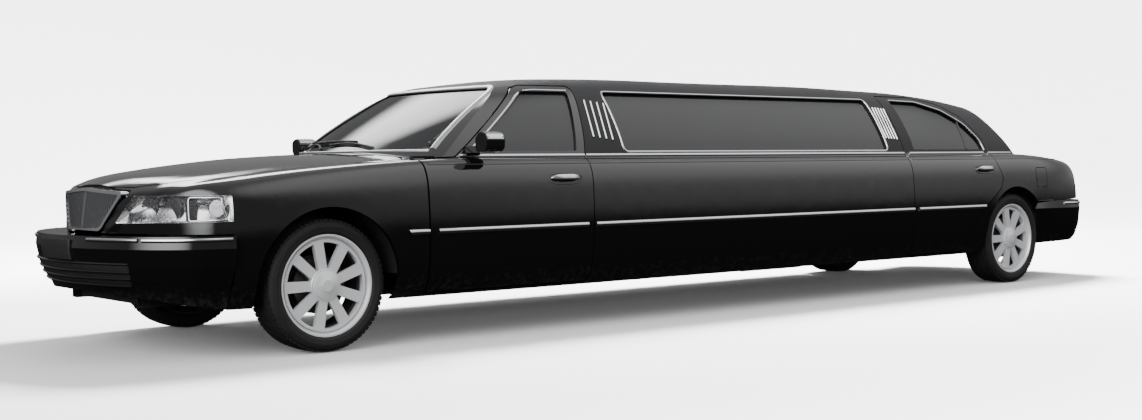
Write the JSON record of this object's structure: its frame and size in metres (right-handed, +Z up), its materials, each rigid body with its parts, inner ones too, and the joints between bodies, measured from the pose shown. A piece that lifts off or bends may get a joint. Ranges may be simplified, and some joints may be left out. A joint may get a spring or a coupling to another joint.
{
  "type": "stretch limousine",
  "caption": "Black saloon car lengthened between its front and rear doors, with a long side window, upright grille, chrome trim, alloy wheels and a lounge cabin.",
  "frame": {"origin": "on the ground below the middle of the car's length and width", "axes": "+X towards the nose, +Y towards the car's left side, +Z up"},
  "size_m": [8.3299, 2.133, 1.5015],
  "materials": {
    "black_paint": "high gloss clear coat",
    "black_vinyl": "fine grained, low sheen",
    "frame_steel": "satin black underbody coat",
    "black_plastic": "matte",
    "bright_chrome": "polished",
    "clear_lens": "clear moulded lens",
    "red_lens": "clear coloured lens",
    "tinted_glass": "polished dark tint",
    "cast_parts": "as cast",
    "bare_steel": "dull",
    "cast_alloy": "bright machined and lacquered",
    "tyre_rubber": "matte",
    "black_leather": "satin",
    "cabin_trim": "lacquered"
  },
  "bodies": {
    "car_body": {"chassis_frame": "frame_steel", "floor_pan": "frame_steel", "wheel_liners": "black_plastic", "body_side_left": "black_paint", "body_side_right": "black_paint", "roof": "black_vinyl", "cowl_panel": "black_paint", "rear_deck": "black_paint", "front_fenders": "black_paint", "front_bumper": "black_paint", "rear_bumper": "black_paint", "headlamps": "clear_lens", "tail_lamps": "red_lens", "windshield": "tinted_glass", "rear_window": "tinted_glass", "stretch_glass": "tinted_glass", "front_suspension": "cast_parts", "rear_axle": "cast_parts", "propeller_shaft": "bare_steel", "engine": "cast_parts", "fuel_tank": "frame_steel", "exhaust": "bare_steel", "dashboard": "black_plastic", "steering_wheel": "black_plastic", "front_seats": "black_leather", "partition": "cabin_trim", "lounge_seats": "black_leather", "bar_console": "cabin_trim"},
    "hood": {"hood": "black_paint", "grille": "bright_chrome"},
    "trunk_lid": {"trunk_lid": "black_paint"},
    "fuel_door": {"fuel_door": "black_paint"},
    "knuckle_left": {"knuckle_left": "cast_parts"},
    "knuckle_right": {"knuckle_right": "cast_parts"},
    "door_front_left": {"door_front_left": "black_paint", "glass_front_left": "tinted_glass", "mirror_left": "black_plastic"},
    "door_rear_left": {"door_rear_left": "black_paint", "glass_rear_left": "tinted_glass"},
    "door_front_right": {"door_front_right": "black_paint", "glass_front_right": "tinted_glass", "mirror_right": "black_plastic"},
    "door_rear_right": {"door_rear_right": "black_paint", "glass_rear_right": "tinted_glass"},
    "wheel_front_left": {"wheel_front_left": "cast_alloy", "tyre_front_left": "tyre_rubber"},
    "wheel_front_right": {"wheel_front_right": "cast_alloy", "tyre_front_right": "tyre_rubber"},
    "wheel_rear_left": {"wheel_rear_left": "cast_alloy", "tyre_rear_left": "tyre_rubber"},
    "wheel_rear_right": {"wheel_rear_right": "cast_alloy", "tyre_rear_right": "tyre_rubber"}
  },
  "joints": [
    {"name": "hood_hinge", "type": "hinge", "parent": "car_body", "child": "hood", "pos_m": [2.51, 0, 1.002], "axis": [0, 1, 0], "range_deg": [-55, 0]},
    {"name": "trunk_hinge", "type": "hinge", "parent": "car_body", "child": "trunk_lid", "pos_m": [-3.2735, 0, 1.029], "axis": [0, 1, 0], "range_deg": [0, 75]},
    {"name": "fuel_door_hinge", "type": "hinge", "parent": "car_body", "child": "fuel_door", "pos_m": [-3.2275, 0.973, 0.784], "axis": [0, 0, 1], "range_deg": [-85, 0]},
    {"name": "door_front_left_hinge", "type": "hinge", "parent": "car_body", "child": "door_front_left", "pos_m": [2.51, 0.993, 0.6], "axis": [0, 0, 1], "range_deg": [-65, 0]},
    {"name": "door_rear_left_hinge", "type": "hinge", "parent": "car_body", "child": "door_rear_left", "pos_m": [-1.655, 0.993, 0.6], "axis": [0, 0, 1], "range_deg": [-65, 0]},
    {"name": "steer_left", "type": "hinge", "parent": "car_body", "child": "knuckle_left", "pos_m": [3.095, 0.745, 0.345], "axis": [0, 0, 1], "range_deg": [-32, 32]},
    {"name": "spin_front_left", "type": "hinge", "parent": "knuckle_left", "child": "wheel_front_left", "pos_m": [3.095, 0.805, 0.345], "axis": [0, 1, 0], "continuous": true},
    {"name": "spin_rear_left", "type": "hinge", "parent": "car_body", "child": "wheel_rear_left", "pos_m": [-2.945, 0.833, 0.345], "axis": [0, 1, 0], "continuous": true},
    {"name": "door_front_right_hinge", "type": "hinge", "parent": "car_body", "child": "door_front_right", "pos_m": [2.51, -0.993, 0.6], "axis": [0, 0, 1], "range_deg": [0, 65]},
    {"name": "door_rear_right_hinge", "type": "hinge", "parent": "car_body", "child": "door_rear_right", "pos_m": [-1.655, -0.993, 0.6], "axis": [0, 0, 1], "range_deg": [0, 65]},
    {"name": "steer_right", "type": "hinge", "parent": "car_body", "child": "knuckle_right", "pos_m": [3.095, -0.745, 0.345], "axis": [0, 0, 1], "range_deg": [-32, 32]},
    {"name": "spin_front_right", "type": "hinge", "parent": "knuckle_right", "child": "wheel_front_right", "pos_m": [3.095, -0.805, 0.345], "axis": [0, 1, 0], "continuous": true},
    {"name": "spin_rear_right", "type": "hinge", "parent": "car_body", "child": "wheel_rear_right", "pos_m": [-2.945, -0.833, 0.345], "axis": [0, 1, 0], "continuous": true}
  ],
  "couplings": [
    {"joint": "steer_right", "follows": "steer_left", "ratio": 1}
  ]
}
